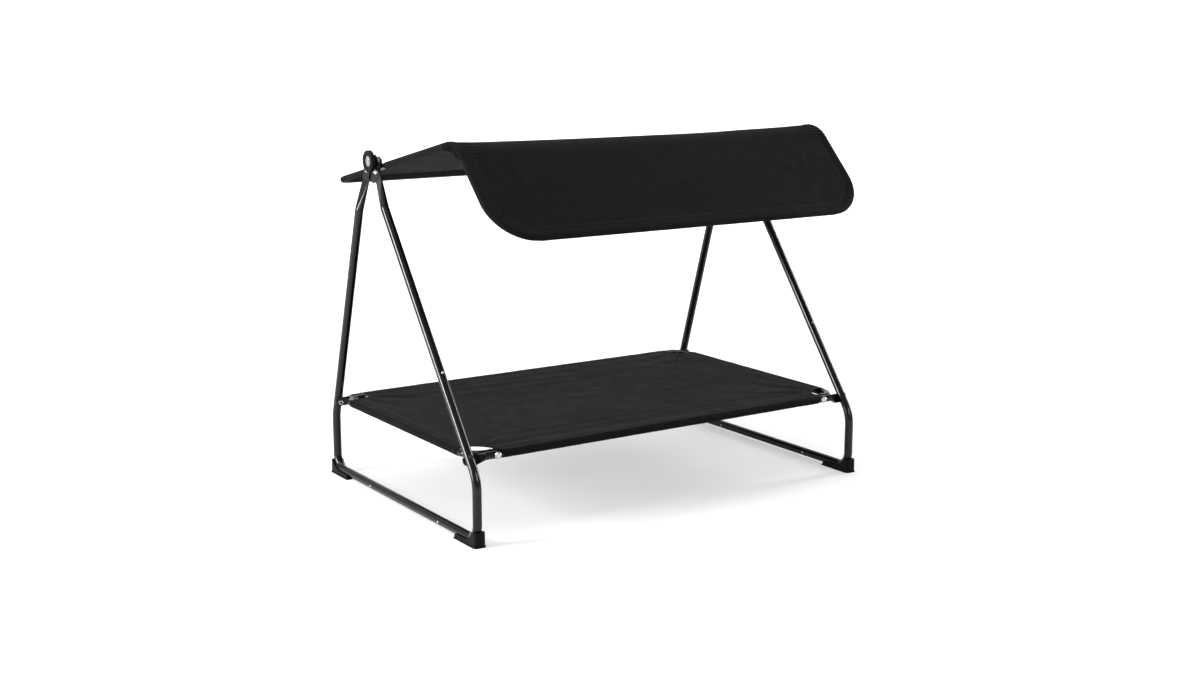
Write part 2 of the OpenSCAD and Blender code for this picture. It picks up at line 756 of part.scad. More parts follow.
pivot_head_h = 4;
pivot_end_x = knob_x + knob_t - 0.7;
module pivot_bolts() {
    color(zinc) at_origin() for (side = [LEFT, RIGHT]) on_side(side) side_face(pivot, ear_x) {
        translate([0, 0, -pivot_head_h]) cylinder(h = pivot_head_h, r = m6_nut_r, $fn = 6);
        translate([0, 0, -1]) cylinder(h = pivot_end_x - ear_x + 1, r = m6_r);
    }
}
spacer_r = 6;
module pivot_spacers() {
    color(zinc) at_origin() for (side = [LEFT, RIGHT]) on_side(side) side_face(pivot, ear_x + ear_t)
        difference() {
            cylinder(h = bracket_x - ear_x - ear_t - run_gap, r = spacer_r);
            translate([0, 0, -1]) cylinder(h = bracket_x - ear_x, r = m6_hole_r);
        }
}
module tilt_knob(side) {
    hub_x = bracket_x + bracket_t + run_gap;
    color(plastic) at_origin() on_side(side) side_face(pivot, hub_x) difference() {
        union() {
            cylinder(h = knob_x - hub_x + 1, r = knob_hub_r);
            translate([0, 0, knob_x - hub_x]) cylinder(h = knob_t, r = knob_r);
        }
        translate([0, 0, knob_x - hub_x + knob_t - recess_d]) cylinder(h = recess_d + 1, r = recess_r);
        translate([0, 0, -1]) cylinder(h = knob_x - hub_x + knob_t + 2, r = m6_run_r);
        for (i = [0 : grips - 1]) rotate([0, 0, i * 360 / grips])
            translate([knob_r + grip_r * 0.55, 0, knob_x - hub_x - 1]) cylinder(h = knob_t + 2, r = grip_r);
    }
}
// The steel nut plate set in the knob's recess
module knob_insert(side) {
    hex_r = 6.4;
    color(zinc) at_origin() on_side(side) side_face(pivot, knob_x + knob_t - recess_d) difference() {
        union() {
            cylinder(h = insert_t, r = insert_r);
            cylinder(h = insert_t + 0.9, r = hex_r, $fn = 6);
        }
        translate([0, 0, -1]) cylinder(h = recess_d + 2, r = m6_hole_r);
    }
}

// ---------- snap buttons ----------

// A button on its springy leaf. Local +X is the way it points, z = 0 is its middle.
module snap_button(joint, side) {
    ball_x = leg_r + button_tip - button_r;
    color(zinc) at_origin() at_joint(joint, side) translate([0, 0, button_from_seam]) {
        translate([leaf_r, -leaf_w / 2, 6 - leaf_len]) cube([leaf_t, leaf_w, leaf_len]);
        translate([leaf_r + leaf_t / 2, 0, 0]) rotate([0, 90, 0])
            cylinder(h = ball_x - leaf_r - leaf_t / 2, r = button_r);
        translate([ball_x, 0, 0]) sphere(r = button_r);
    }
}
// The fixed leaf and the bend of each button's spring
module snap_springs() {
    bend_z = 6 - leaf_len - bend_gap;
    color(spring_steel) at_origin() for (side = [LEFT, RIGHT], joint = [BASE_FRONT : REAR_HIGH])
        at_joint(joint, side) translate([0, 0, button_from_seam]) {
            translate([-leaf_r - leaf_t, -leaf_w / 2, bend_z]) cube([leaf_t, leaf_w, leaf_len + bend_gap]);
            translate([0, 0, bend_z]) rotate([90, 0, 0]) mirror([0, 1, 0])
                rotate_extrude(angle = 180) translate([leaf_r, -leaf_w / 2]) square([leaf_t, leaf_w]);
        }
}

// ---------- the parts ----------

base_tube(LEFT);  // base_tube_left
base_tube(RIGHT);  // base_tube_right
lower_leg_front(LEFT);  // lower_leg_front_left
lower_leg_front(RIGHT);  // lower_leg_front_right
lower_leg_rear(LEFT);  // lower_leg_rear_left
lower_leg_rear(RIGHT);  // lower_leg_rear_right
middle_leg_front(LEFT);  // middle_leg_front_left
middle_leg_front(RIGHT);  // middle_leg_front_right
middle_leg_rear(LEFT);  // middle_leg_rear_left
middle_leg_rear(RIGHT);  // middle_leg_rear_right
upper_leg_front(LEFT);  // upper_leg_front_left
upper_leg_front(RIGHT);  // upper_leg_front_right
upper_leg_rear(LEFT);  // upper_leg_rear_left
upper_leg_rear(RIGHT);  // upper_leg_rear_right
foot(LEFT, "front");  // foot_front_left
foot(RIGHT, "front");  // foot_front_right
foot(LEFT, "rear");  // foot_rear_left
foot(RIGHT, "rear");  // foot_rear_right
apex_bracket(LEFT);  // apex_bracket_left
apex_bracket(RIGHT);  // apex_bracket_right
apex_bolts();
apex_nuts();
bed_rail(LEFT, "front");  // bed_rail_front_left
bed_rail(RIGHT, "front");  // bed_rail_front_right
bed_rail(LEFT, "rear");  // bed_rail_rear_left
bed_rail(RIGHT, "rear");  // bed_rail_rear_right
bed_end_tube(LEFT);  // bed_end_tube_left
bed_end_tube(RIGHT);  // bed_end_tube_right
rail_screws();
rail_nuts();
corner_bolts();
corner_nuts();
bed_fabric();
canopy_tube_front(LEFT);  // canopy_tube_front_left
canopy_tube_front(RIGHT);  // canopy_tube_front_right
canopy_tube_rear(LEFT);  // canopy_tube_rear_left
canopy_tube_rear(RIGHT);  // canopy_tube_rear_right
canopy_front_bar();
canopy_rear_bar();
canopy_fabric();
pivot_bolts();
pivot_spacers();
tilt_knob(LEFT);  // tilt_knob_left
tilt_knob(RIGHT);  // tilt_knob_right
knob_insert(LEFT);  // knob_insert_left
knob_insert(RIGHT);  // knob_insert_right
snap_springs();
snap_button(BASE_FRONT, LEFT);  // snap_button_base_front_left
snap_button(BASE_FRONT, RIGHT);  // snap_button_base_front_right
snap_button(BASE_REAR, LEFT);  // snap_button_base_rear_left
snap_button(BASE_REAR, RIGHT);  // snap_button_base_rear_right
snap_button(FRONT_LOW, LEFT);  // snap_button_front_low_left
snap_button(FRONT_LOW, RIGHT);  // snap_button_front_low_right
snap_button(FRONT_HIGH, LEFT);  // snap_button_front_high_left
snap_button(FRONT_HIGH, RIGHT);  // snap_button_front_high_right
snap_button(REAR_LOW, LEFT);  // snap_button_rear_low_left
snap_button(REAR_LOW, RIGHT);  // snap_button_rear_low_right
snap_button(REAR_HIGH, LEFT);  // snap_button_rear_high_left
snap_button(REAR_HIGH, RIGHT);  // snap_button_rear_high_right
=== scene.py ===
import bpy
import json
import math
import numpy as np
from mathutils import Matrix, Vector, noise


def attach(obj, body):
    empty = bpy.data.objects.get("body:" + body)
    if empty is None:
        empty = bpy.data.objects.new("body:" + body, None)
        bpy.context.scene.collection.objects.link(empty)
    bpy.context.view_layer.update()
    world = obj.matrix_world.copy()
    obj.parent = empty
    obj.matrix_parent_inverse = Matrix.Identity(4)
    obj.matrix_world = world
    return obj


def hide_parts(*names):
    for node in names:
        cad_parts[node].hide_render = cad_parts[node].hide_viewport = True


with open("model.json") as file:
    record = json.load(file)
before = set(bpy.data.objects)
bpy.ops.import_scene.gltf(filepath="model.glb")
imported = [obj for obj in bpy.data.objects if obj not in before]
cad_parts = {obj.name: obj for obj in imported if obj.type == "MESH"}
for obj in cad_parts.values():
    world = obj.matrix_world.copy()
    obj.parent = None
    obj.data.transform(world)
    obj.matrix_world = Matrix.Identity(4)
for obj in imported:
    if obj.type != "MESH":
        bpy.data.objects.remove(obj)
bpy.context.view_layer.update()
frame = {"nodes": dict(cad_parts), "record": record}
nodes = frame["nodes"]

# ---------- sizes, in metres, as in the CAD ----------
SHIFT = 0.0272207                      # moves the design so that its outline is centred on Y
BED_Z = 0.1774                         # centre height of the bed's tubes
BED_R = 0.0088                         # radius of the bed's tubes
RAIL_FRONT = -0.303944 + SHIFT         # centre lines of the long rails
RAIL_REAR = 0.320292 + SHIFT
TUBE_STEP = 0.0164                     # from a rail in to the end tube's arm beside it
END_X = 0.490                          # centre line of the end tubes
SLEEVE_X = 0.425                       # the pockets end here, along the rails
END_SLEEVE = (RAIL_FRONT + 0.059, RAIL_REAR - 0.059)   # and here, along the end tubes
BITE_R = 0.0475                        # the cut-out at each corner of the sling
BITE_IN = 0.014
CLOTH_T = 0.0008

CAN_X = 0.4727                         # centre line of the canopy's side tubes
CAN_R = 0.0073                         # their radius
RIDGE = (-0.218 + SHIFT, 0.8065)       # (y, z) where the two panels' lines cross
REAR_SLOPE = math.radians(12.44)
FRONT_SLOPE = math.radians(45.5919)
FRONT_LEN = 0.249
REAR_LEN = 0.564
RIDGE_R = 0.068
FRONT_CORNER = 0.095
REAR_CORNER = 0.025
PIVOT_S = 0.3401                       # from the ridge back to the pivot, along the tube

VIEW_YAW = 0.589                       # the camera's heading, which the stage is square to


# ---------- camera ----------
def add_camera():
    yaw, pitch = VIEW_YAW, 0.196
    cam = bpy.data.cameras.new("camera")
    cam.lens = 49.02
    cam.sensor_width = 36
    ob = bpy.data.objects.new("camera", cam)
    bpy.context.scene.collection.objects.link(ob)
    ob.location = (-2.0515, -3.0998 + SHIFT, 1.060)
    ahead = Vector((math.sin(yaw) * math.cos(pitch), math.cos(yaw) * math.cos(pitch), -math.sin(pitch)))
    ob.rotation_euler = ahead.to_track_quat("-Z", "Y").to_euler()
    bpy.context.scene.camera = ob


# ---------- materials ----------
class Nodes:
    """A few lines of shorthand for building a node material."""

    def __init__(self, name):
        self.mat = bpy.data.materials.new(name)
        self.mat.use_nodes = True
        self.tree = self.mat.node_tree
        self.tree.nodes.clear()
        self.out = self.tree.nodes.new("ShaderNodeOutputMaterial")
        self.bsdf = self.tree.nodes.new("ShaderNodeBsdfPrincipled")
        self.tree.links.new(self.bsdf.outputs[0], self.out.inputs[0])
        self.coords = self.tree.nodes.new("ShaderNodeTexCoord")

    def put(self, **values):
        for key, v in values.items():
            self.bsdf.inputs[key.replace("_", " ")].default_value = v

    def link(self, a, b):
        self.tree.links.new(a, b)

    def noise(self, scale, detail, source=None):
        n = self.tree.nodes.new("ShaderNodeTexNoise")
        n.inputs["Scale"].default_value = scale
        n.inputs["Detail"].default_value = detail
        n.inputs["Roughness"].default_value = 0.5
        self.link(source or self.coords.outputs["Object"], n.inputs["Vector"])
        return n.outputs["Fac"]

    def ramp(self, source, stops):
        """A colour ramp whose stops are (place, grey or (r, g, b))."""
        n = self.tree.nodes.new("ShaderNodeValToRGB")
        e = n.color_ramp.elements
        while len(e) < len(stops):
            e.new(0.5)
        for item, (at, value) in zip(e, stops):
            item.position = at
            item.color = (value, value, value, 1) if not hasattr(value, "__len__") else (*value, 1)
        self.link(source, n.inputs[0])
        return n.outputs[0]

    def math(self, kind, a, b=0.0):
        """One maths node. Each of a and b is a number or a socket."""
        n = self.tree.nodes.new("ShaderNodeMath")
        n.operation = kind
        for socket, v in zip(n.inputs, (a, b)):
            if isinstance(v, (int, float)):
                socket.default_value = v
            else:
                self.link(v, socket)
        return n.outputs[0]

    def bump(self, heights):
        """Chains bumps: each is (height socket, distance in metres, strength)."""
        last = None
        for height, distance, strength in heights:
            n = self.tree.nodes.new("ShaderNodeBump")
            n.inputs["Distance"].default_value = distance
            n.inputs["Strength"].default_value = strength
            self.link(height, n.inputs["Height"])
            if last:
                self.link(last, n.inputs["Normal"])
            last = n.outputs[0]
        self.link(last, self.bsdf.inputs["Normal"])


def paint_material():
    m = Nodes("black_powder_coat")
    m.put(Specular_IOR_Level=0.25, Coat_Weight=0.25, Coat_Roughness=0.06)
    tone = m.noise(9, 4)
    m.link(m.ramp(tone, [(0.3, (0.0022, 0.0022, 0.0024)), (0.7, (0.0048, 0.0048, 0.0052))]),
           m.bsdf.inputs["Base Color"])
    dust = m.noise(60, 5)
    m.link(m.ramp(dust, [(0.35, 0.17), (0.75, 0.27)]), m.bsdf.inputs["Roughness"])
    m.bump([(m.noise(300, 2), 0.0004, 0.04)])
    return m.mat


def zinc_material(name, dark, bright, rough):
    m = Nodes(name)
    m.put(Metallic=1.0)
    spangle = m.tree.nodes.new("ShaderNodeTexVoronoi")
    spangle.inputs["Scale"].default_value = 420
    m.link(m.coords.outputs["Object"], spangle.inputs["Vector"])
    mixed = m.math("ADD", m.math("MULTIPLY", spangle.outputs["Distance"], 0.4), m.noise(160, 4))
    m.link(m.ramp(mixed, [(0.35, dark), (0.9, bright)]), m.bsdf.inputs["Base Color"])
    m.link(m.ramp(m.noise(300, 3), [(0.3, rough), (0.8, rough + 0.16)]), m.bsdf.inputs["Roughness"])
    m.bump([(m.noise(900, 2), 0.0001, 0.25)])
    return m.mat


def plastic_material():
    m = Nodes("black_moulded_plastic")
    m.put(Specular_IOR_Level=0.08)
    m.link(m.ramp(m.noise(40, 4), [(0.3, (0.0032, 0.0032, 0.0034)), (0.75, (0.0062, 0.0062, 0.0066))]),
           m.bsdf.inputs["Base Color"])
    m.link(m.ramp(m.noise(220, 3), [(0.3, 0.42), (0.75, 0.58)]), m.bsdf.inputs["Roughness"])
    grain = m.tree.nodes.new("ShaderNodeTexVoronoi")
    grain.inputs["Scale"].default_value = 1400
    m.link(m.coords.outputs["Object"], grain.inputs["Vector"])
    m.bump([(grain.outputs["Distance"], 0.00025, 0.35), (m.noise(90, 3), 0.0006, 0.10)])
    return m.mat


def cloth_material(name, low, high, pitch, rough, sheen, slub):
    """Plain weave: warp and weft threads that pass over and under each other, on the cloth's own map."""
    m = Nodes(name)
    m.put(Specular_IOR_Level=0.04, Sheen_Weight=sheen, Sheen_Roughness=0.45)
    parts = m.tree.nodes.new("ShaderNodeSeparateXYZ")
    m.link(m.coords.outputs["UV"], parts.inputs[0])
    turns = 2 * math.pi / pitch
    u = m.math("MULTIPLY", parts.outputs["X"], turns)
    v = m.math("MULTIPLY", parts.outputs["Y"], turns)
    warp = m.math("ABSOLUTE", m.math("SINE", u))
    weft = m.math("ABSOLUTE", m.math("SINE", v))
    over = m.math("GREATER_THAN", m.math("MULTIPLY", m.math("SINE", m.math("MULTIPLY", u, 0.5)),
                                         m.math("SINE", m.math("MULTIPLY", v, 0.5))), 0.0)
    under = m.math("SUBTRACT", 1.0, over)
    weave = m.math("ADD", m.math("MULTIPLY", warp, over), m.math("MULTIPLY", weft, under))
    stretch = m.tree.nodes.new("ShaderNodeMapping")
    stretch.inputs["Scale"].default_value = (6, 90, 1)
    m.link(m.coords.outputs["UV"], stretch.inputs["Vector"])
    threads = m.noise(6, 4, stretch.outputs[0])
    cloud = m.noise(7, 4)
    tone = m.math("ADD", m.math("MULTIPLY", cloud, 0.6), m.math("MULTIPLY", threads, 0.4))
    # painted shade and highlight: the weave term makes the colour darker in the gaps between threads and
    # lighter on the threads' crowns
    tone = m.math("ADD", tone, m.math("MULTIPLY", m.math("SUBTRACT", weave, 0.6), 0.25))
    m.link(m.ramp(tone, [(0.25, low), (0.75, high)]), m.bsdf.inputs["Base Color"])
    m.link(m.ramp(m.noise(30, 4), [(0.3, rough), (0.8, rough + 0.14)]), m.bsdf.inputs["Roughness"])
    m.bump([(m.noise(26, 4), 0.004, slub), (threads, 0.0006, 0.20), (weave, 0.00022, 0.55)])
    return m.mat


def thread_material():
    m = Nodes("stitch_thread")
    m.put(Specular_IOR_Level=0.35)
    m.link(m.ramp(m.noise(700, 2), [(0.3, (0.030, 0.030, 0.031)), (0.8, (0.065, 0.065, 0.067))]),
           m.bsdf.inputs["Base Color"])
    m.link(m.ramp(m.noise(500, 2), [(0.3, 0.45), (0.8, 0.7)]), m.bsdf.inputs["Roughness"])
    m.bump([(m.noise(2500, 2), 0.0001, 0.5)])
    return m.mat


def floor_material():
    """White floor that glows a little, more so far out, and hardly at all in the tubes' reflections."""
    m = Nodes("studio_floor")
    m.put(Specular_IOR_Level=0.15)
    m.link(m.ramp(m.noise(0.8, 2), [(0.3, (0.65, 0.65, 0.65)), (0.7, (0.67, 0.67, 0.67))]),
           m.bsdf.inputs["Base Color"])
    m.put(Roughness=0.9, Emission_Color=(1, 1, 1, 1))
    away = m.tree.nodes.new("ShaderNodeVectorMath")
    away.operation = "LENGTH"
    m.link(m.coords.outputs["Object"], away.inputs[0])
    far = m.tree.nodes.new("ShaderNodeMapRange")
    far.inputs["From Min"].default_value = 1.8
    far.inputs["From Max"].default_value = 5.0
    far.inputs["To Min"].default_value = 0.37
    far.inputs["To Max"].default_value = 1.0
    m.link(away.outputs["Value"], far.inputs["Value"])
    path = m.tree.nodes.new("ShaderNodeLightPath")
    dimmed = m.math("SUBTRACT", 1.0, m.math("MULTIPLY", path.outputs["Is Glossy Ray"], 0.91))
    m.link(m.math("MULTIPLY", far.outputs["Result"], dimmed), m.bsdf.inputs["Emission Strength"])
    return m.mat


# ---------- mesh helpers ----------
def make_mesh(name, verts, faces, uvs=None):
    me = bpy.data.meshes.new(name)
    me.from_pydata([tuple(float(c) for c in v) for v in verts], [], [tuple(int(i) for i in f) for f in faces])
    if uvs is not None:
        layer = me.uv_layers.new(name="cloth")
        flat = np.array([uvs[loop.vertex_index] for loop in me.loops], np.float32)
        layer.data.foreach_set("uv", flat.ravel())
    me.update()
    for p in me.polygons:
        p.use_smooth = True
    ob = bpy.data.objects.new(name, me)
    bpy.context.scene.collection.objects.link(ob)
    return ob


def apply_all(ob):
    """Bakes the modifiers into the mesh."""
    deps = bpy.context.evaluated_depsgraph_get()
    fresh = bpy.data.meshes.new_from_object(ob.evaluated_get(deps))
    ob.modifiers.clear()
    old = ob.data
    ob.data = fresh
    bpy.data.meshes.remove(old)
    return ob


def thicken(ob, thickness):
    mod = ob.modifiers.new("thickness", "SOLIDIFY")
    mod.thickness = thickness
    mod.offset = -1
    mod.use_even_offset = False
    return apply_all(ob)


STITCH_FACES = ((0, 1, 5), (0, 5, 2), (1, 4, 5), (2, 5, 4), (1, 6, 4), (2, 4, 6),
                (1, 3, 6), (2, 6, 3), (0, 7, 1), (0, 2, 7), (3, 1, 7), (3, 7, 2))


def stitches(name, rows, length=0.0032, gap=0.0016, width=0.00055, rise=0.0004):
    """One mesh of short raised threads along rows of (point, normal) samples."""
    verts, faces = [], []
    for row in rows:
        pts = np.array([p for p, _ in row])
        ups = np.array([n for _, n in row])
        steps = np.linalg.norm(np.diff(pts, axis=0), axis=1)
        run = np.concatenate([[0], np.cumsum(steps)])
        at = 0.0
        while at + length < run[-1]:
            ends = [np.array([np.interp(x, run, pts[:, k]) for k in range(3)]) for x in (at, at + length)]
            up = np.array([np.interp(at, run, ups[:, k]) for k in range(3)])
            up /= np.linalg.norm(up)
            along = ends[1] - ends[0]
            along /= np.linalg.norm(along)
            side = np.cross(along, up) * width / 2
            mid = (ends[0] + ends[1]) / 2
            base = len(verts)
            verts += [ends[0], mid - side, mid + side, ends[1], mid + up * rise,
                      ends[0] * 0.75 + ends[1] * 0.25 + up * rise * 0.85,
                      ends[0] * 0.25 + ends[1] * 0.75 + up * rise * 0.85,
                      mid - up * rise * 0.5]
            faces += [[base + i for i in face] for face in STITCH_FACES]
            at += length + gap
    return make_mesh(name, verts, faces)


def smooth_step(x, a, b):
    t = np.clip((x - a) / (b - a), 0, 1)
    return t * t * (3 - 2 * t)


# ---------- the sling of the bed ----------
BED_MID = (RAIL_FRONT + RAIL_REAR) / 2
BED_HALF = (RAIL_REAR - RAIL_FRONT) / 2
CORNERS = [(sx * (END_X - BITE_IN + 0.004), y) for sx in (-1, 1)
           for y in (RAIL_FRONT + BITE_IN, RAIL_REAR - BITE_IN)]


def bed_height(x, y):
    """Height of the sling's upper face: level over the tubes, a slight sag, and folds from the corners."""
    ex = (END_X - abs(x)) / 0.060
    ey = (BED_HALF - abs(y - BED_MID)) / 0.060
    inside = min(max(min(ex, ey), 0.0), 1.0)
    ease = inside * inside * (3 - 2 * inside)
    fx, fy = x / END_X, (y - BED_MID) / BED_HALF
    z = -0.0085 * (1 - fx * fx) * (1 - fy * fy) - 0.0010 * ease
    for i, (cx, cy) in enumerate(CORNERS):
        dx, dy = x - cx, y - cy
        r = math.hypot(dx, dy)
        turn = math.atan2(abs(dy), abs(dx))
        near = math.exp(-((r - BITE_R) / 0.135) ** 2) * smooth_step(r, BITE_R, BITE_R + 0.035)
        fan = math.sin(turn * 13 + 1.7 * i + 3.0 * r) + 0.6 * math.sin(turn * 23 + 2.9 * i - 7.0 * r)
        z += 0.00115 * near * fan * ease
    p = Vector((x * 5.0, y * 5.0, 1.7))
    z += 0.0016 * noise.noise(p) * ease + 0.0007 * noise.noise(p * 3.1) * ease
    # two long soft folds where the cloth is pulled between the corners
    for at, phase, size in ((0.085, 0.4, 0.0011), (-0.12, 2.1, 0.0009)):
        d = (abs(y - BED_MID) - (BED_HALF - abs(at))) + 0.012 * math.sin(5 * x + phase)
        z += size * math.exp(-(d / 0.012) ** 2) * ease * smooth_step(END_X - abs(x), 0.05, 0.16)
    return BED_Z + BED_R + z


def bed_normal(x, y):
    e = 0.002
    dx = (bed_height(x + e, y) - bed_height(x - e, y)) / (2 * e)
    dy = (bed_height(x, y + e) - bed_height(x, y - e)) / (2 * e)
    n = np.array([-dx, -dy, 1.0])
    return n / np.linalg.norm(n)


def spaced(a, b, marks, step):
    """Values from a to b that include the marks, about step apart."""
    out = [a]
    for m in sorted(list(marks) + [b]):
        n = max(1, round((m - out[-1]) / step))
        start = out[-1]
        out += [start + (m - start) * k / n for k in range(1, n + 1)]
    return out


def pocket_profile(reach, wide):
    """(inwards, up) points from the top of the outer tube, round it and back to the seam under the sheet."""
    r = BED_R + 0.0002
    pts = [(r * math.cos(a), r * math.sin(a)) for a in np.linspace(math.pi / 2, 3 * math.pi / 2, 13)[1:]]
    if wide:
        pts.append((TUBE_STEP * 0.5, -r))
    pts += [(wide + r * math.cos(a), r * math.sin(a)) for a in np.linspace(-math.pi / 2, -math.pi / 5, 5)]
    x0, z0 = pts[-1]
    for k in range(1, 5):
        t = k / 4
        pts.append((x0 + (reach - x0) * t, z0 + (BED_R - 0.0014 - z0) * t))
    return pts


def bed_sling():
    """The sheet with its corner cut-outs, and a pocket on each side that goes round the tube."""
    xs = spaced(-END_X, END_X, (-SLEEVE_X, SLEEVE_X), 0.0062)
    ys = spaced(RAIL_FRONT, RAIL_REAR, END_SLEEVE, 0.0062)
    verts, uvs, faces, index = [], [], [], {}

    def add(p, uv):
        verts.append(p)
        uvs.append(uv)
        return len(verts) - 1

    def bitten(x, y):
        return any(math.hypot(x - cx, y - cy) < BITE_R for cx, cy in CORNERS) or (
            abs(x) > CORNERS[-1][0] - 0.001 and not END_SLEEVE[0] - 1e-6 <= y <= END_SLEEVE[1] + 1e-6) or (
            (y < CORNERS[0][1] + 0.001 or y > CORNERS[1][1] - 0.001) and abs(x) > CORNERS[-1][0] - BITE_R)

    keep = {}
    for i in range(len(xs) - 1):
        for j in range(len(ys) - 1):
            keep[i, j] = not bitten((xs[i] + xs[i + 1]) / 2, (ys[j] + ys[j + 1]) / 2)

    def vertex(i, j):
        if (i, j) not in index:
            x, y = xs[i], ys[j]
            around = [keep.get((i + a, j + b)) for a in (-1, 0) for b in (-1, 0)]
            edge = any(k is False for k in around)
            if edge:
                cx, cy = min(CORNERS, key=lambda c: math.hypot(x - c[0], y - c[1]))
                d = math.hypot(x - cx, y - cy)
                on_border = j in (0, len(ys) - 1) or i in (0, len(xs) - 1)
                if not on_border and d > 1e-6:
                    x, y = cx + (x - cx) * BITE_R / d, cy + (y - cy) * BITE_R / d
            index[i, j] = add((x, y, bed_height(x, y)), (x, y))
        return index[i, j]

    for (i, j), kept in keep.items():
        if kept:
            faces.append([vertex(i, j), vertex(i + 1, j), vertex(i + 1, j + 1), vertex(i, j + 1)])

    def pocket(row, sign_in, along_x, profile):
        previous = row
        walked, last = 0.0, (0.0, BED_R)
        for inward, up in profile:
            walked += math.hypot(inward - last[0], up - last[1])
            last = (inward, up)
            fresh = []
            for v in row:
                x, y = verts[v][:2]
                u, w = uvs[v]
                ripple = 0.00035 * noise.noise(Vector((x * 30, y * 30, walked * 60)))
                tuck = bed_height(x, y + sign_in * inward) if along_x else bed_height(x + sign_in * inward, y)
                high = BED_Z + up + ripple
                if up > 0 and inward > 0.012:
                    high = min(high, tuck - 0.0014)
                if along_x:
                    fresh.append(add((x, y + sign_in * inward, high), (u, w - sign_in * walked)))
                else:
                    fresh.append(add((x + sign_in * inward, y, high), (u - sign_in * walked, w)))
            for a in range(len(row) - 1):
                faces.append([previous[a], fresh[a], fresh[a + 1], previous[a + 1]])
            previous = fresh

    along_rail = [i for i, x in enumerate(xs) if abs(x) <= SLEEVE_X + 1e-6]
    along_end = [j for j, y in enumerate(ys) if END_SLEEVE[0] - 1e-6 <= y <= END_SLEEVE[1] + 1e-6]
    front = [index[i, 0] for i in along_rail]
    rear = [index[i, len(ys) - 1] for i in along_rail]
    left = [index[0, j] for j in along_end]
    right = [index[len(xs) - 1, j] for j in along_end]
    pocket(front, 1, True, pocket_profile(0.036, TUBE_STEP))
    pocket(rear[::-1], -1, True, pocket_profile(0.036, TUBE_STEP))
    pocket(left[::-1], 1, False, pocket_profile(0.024, 0.0))
    pocket(right, -1, False, pocket_profile(0.024, 0.0))
    ob = make_mesh("bed_sling", verts, faces, uvs)
    return thicken(ob, CLOTH_T)


def binding(name, path, ups, outs, radius):
    """A folded tape sewn over a raw edge: a flattened tube along the edge."""
    verts, faces, uvs = [], [], []
    ring = 10
    walked = 0.0
    for k, (p, up, out) in enumerate(zip(path, ups, outs)):
        if k:
            walked += float(np.linalg.norm(np.array(p) - np.array(path[k - 1])))
        for a in range(ring):
            t = 2 * math.pi * a / ring
            c, s = math.cos(t), math.sin(t)
            flat = 3.2 if c < 0 else 1.0
            verts.append(np.array(p) + np.array(out) * c * radius * flat + np.array(up) * s * radius)
            uvs.append((walked, a * radius * 0.6))
    for k in range(len(path) - 1):
        for a in range(ring):
            b = (a + 1) % ring
            faces.append([k * ring + a, k * ring + b, (k + 1) * ring + b, (k + 1) * ring + a])
    faces.append(list(range(ring))[::-1])
    faces.append([(len(path) - 1) * ring + a for a in range(ring)])
    return make_mesh(name, verts, faces, uvs)


def bed_bindings():
    """A tape round each corner cut-out."""
    made = []
    for n, (cx, cy) in enumerate(CORNERS):
        sx = 1 if cx > 0 else -1
        sy = 1 if cy > BED_MID else -1
        start = math.asin(min(1, BITE_IN / BITE_R))
        angles = np.linspace(-start + 0.02, math.pi / 2 + math.asin((END_X - abs(cx)) / BITE_R) - 0.02, 25)
        path, ups, outs = [], [], []
        for t in angles:
            dx, dy = -sx * math.cos(t), -sy * math.sin(t)
            x, y = cx + dx * BITE_R, cy + dy * BITE_R
            path.append((x, y, bed_height(x, y) - CLOTH_T / 2))
            ups.append(bed_normal(x, y))
            outs.append((-dx, -dy, 0.0))
        made.append(binding(f"corner_binding_{n + 1}", path, ups, outs, 0.0011))
    return made


def bed_seams():
    """Two rows of stitches inside each pocket, and one round each cut-out."""
    rows = []
    n = 400
    for off in (0.0325, 0.0355):
        for y in (RAIL_FRONT + off, RAIL_REAR - off):
            xs = np.linspace(-SLEEVE_X + 0.004, SLEEVE_X - 0.004, n)
            rows.append([((x, y, bed_height(x, y)), bed_normal(x, y)) for x in xs])
    for off in (0.0205, 0.0235):
        for x in (-END_X + off, END_X - off):
            ys = np.linspace(END_SLEEVE[0] + 0.004, END_SLEEVE[1] - 0.004, n)
            rows.append([((x, y, bed_height(x, y)), bed_normal(x, y)) for y in ys])
    for cx, cy in CORNERS:
        sx = 1 if cx > 0 else -1
        sy = 1 if cy > BED_MID else -1
        r = BITE_R + 0.0030
        row = []
        for t in np.linspace(-0.15, math.pi / 2 + 0.1, 60):
            x, y = cx - sx * math.cos(t) * r, cy - sy * math.sin(t) * r
            row.append(((x, y, bed_height(x, y) + 0.0009), bed_normal(x, y)))
        rows.append(row)
    return stitches("bed_stitching", rows)


# ---------- the canopy ----------
RIDGE_TURN = REAR_SLOPE + FRONT_SLOPE
RIDGE_CUT = RIDGE_R * math.tan(RIDGE_TURN / 2)
# s runs from the front tube (low) to the rear tube (high), along the tubes' centre line
S_FRONT = FRONT_LEN - RIDGE_CUT
S_ARC = RIDGE_R * RIDGE_TURN
S_END = S_FRONT + S_ARC + REAR_LEN - RIDGE_CUT
S_PIVOT = S_FRONT + S_ARC + PIVOT_S - RIDGE_CUT
GATHER = 0.0098                        # from one gather of the hem at the ridge to the next
EAR_CUT = 0.0150                       # how far the hem is cut in at the pivot's ear


